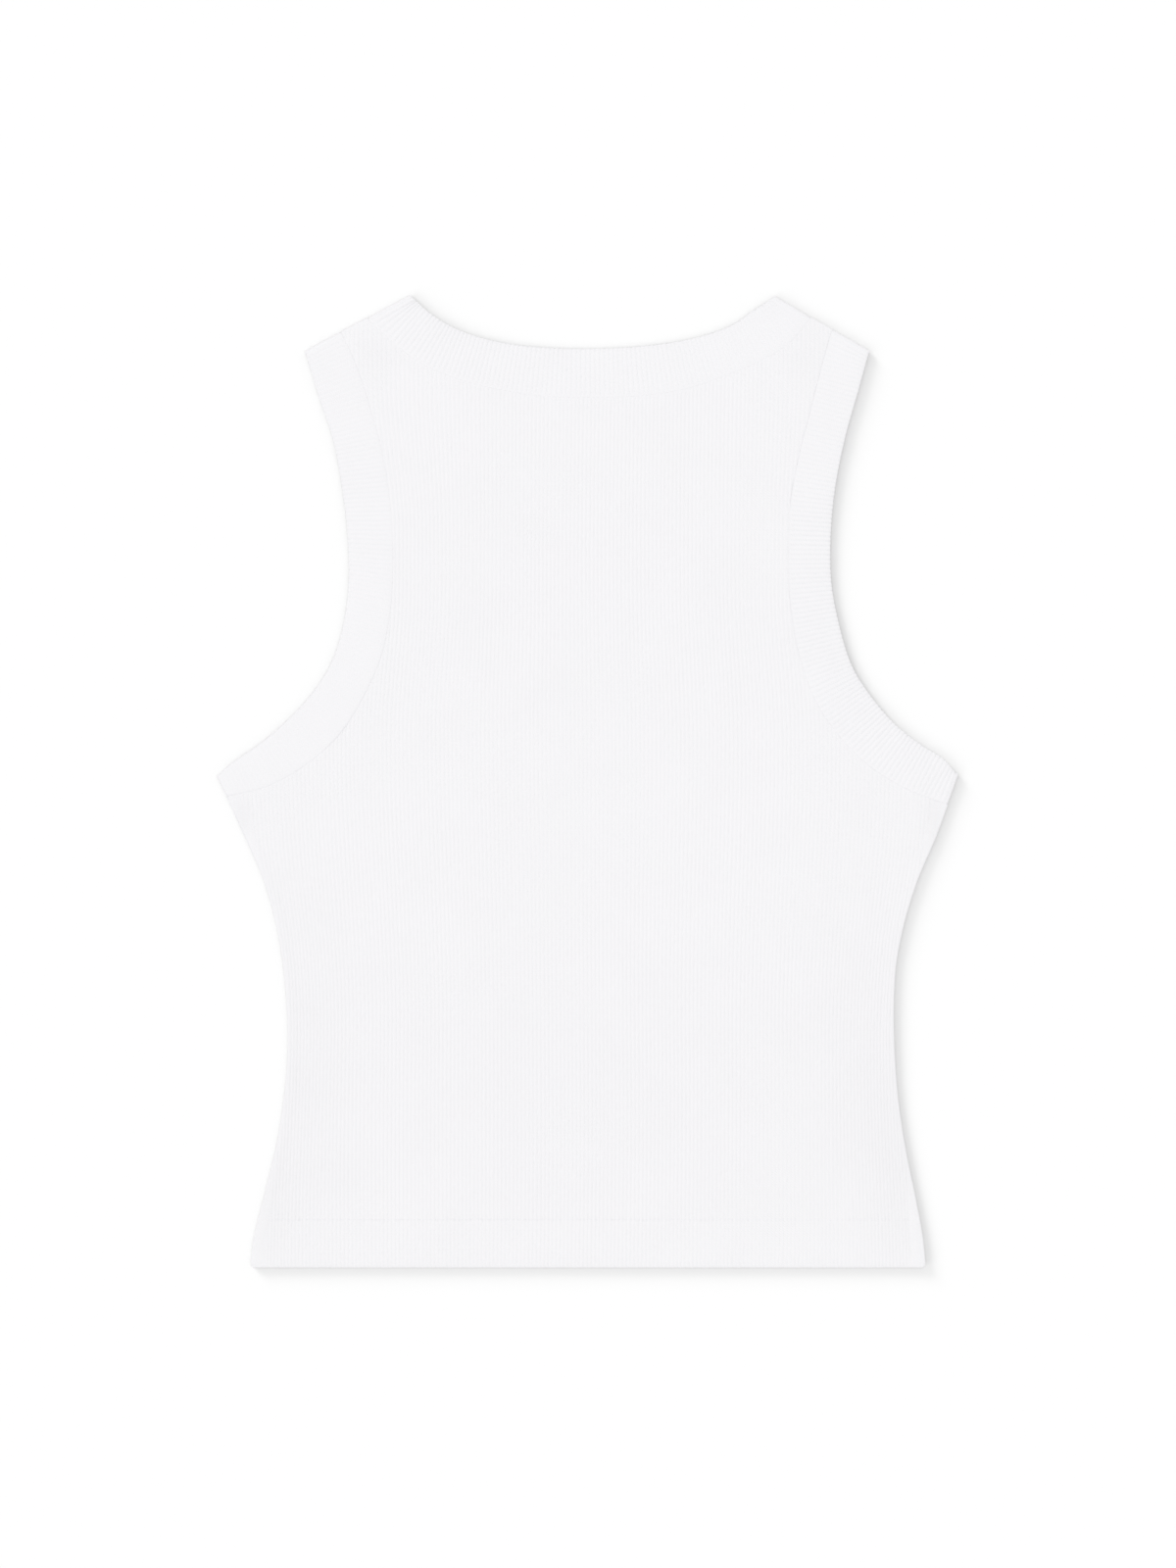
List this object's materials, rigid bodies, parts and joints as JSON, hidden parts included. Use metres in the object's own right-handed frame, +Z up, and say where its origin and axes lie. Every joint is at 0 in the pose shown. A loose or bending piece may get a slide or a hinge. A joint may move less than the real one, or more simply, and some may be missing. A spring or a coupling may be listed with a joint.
{
  "type": "tank top",
  "caption": "Sleeveless cropped top in fine rib knit, lying flat on its front, with banded round neck and armholes and a turned-up hem.",
  "frame": {"origin": "middle of the garment's bounding box, on the surface it lies on", "axes": "+Y from the hem towards the neck, +Z up out of the back panel, +X to the wearer's right side"},
  "size_m": [0.3781, 0.496, 0.0037],
  "materials": {
    "body_rib": "matte fine rib knit",
    "band_rib": "matte coarser rib knit"
  },
  "bodies": {
    "root": {"back_panel": "body_rib", "front_panel": "body_rib", "neck_band": "band_rib", "armhole_band_left": "band_rib", "armhole_band_right": "band_rib"}
  },
  "joints": []
}
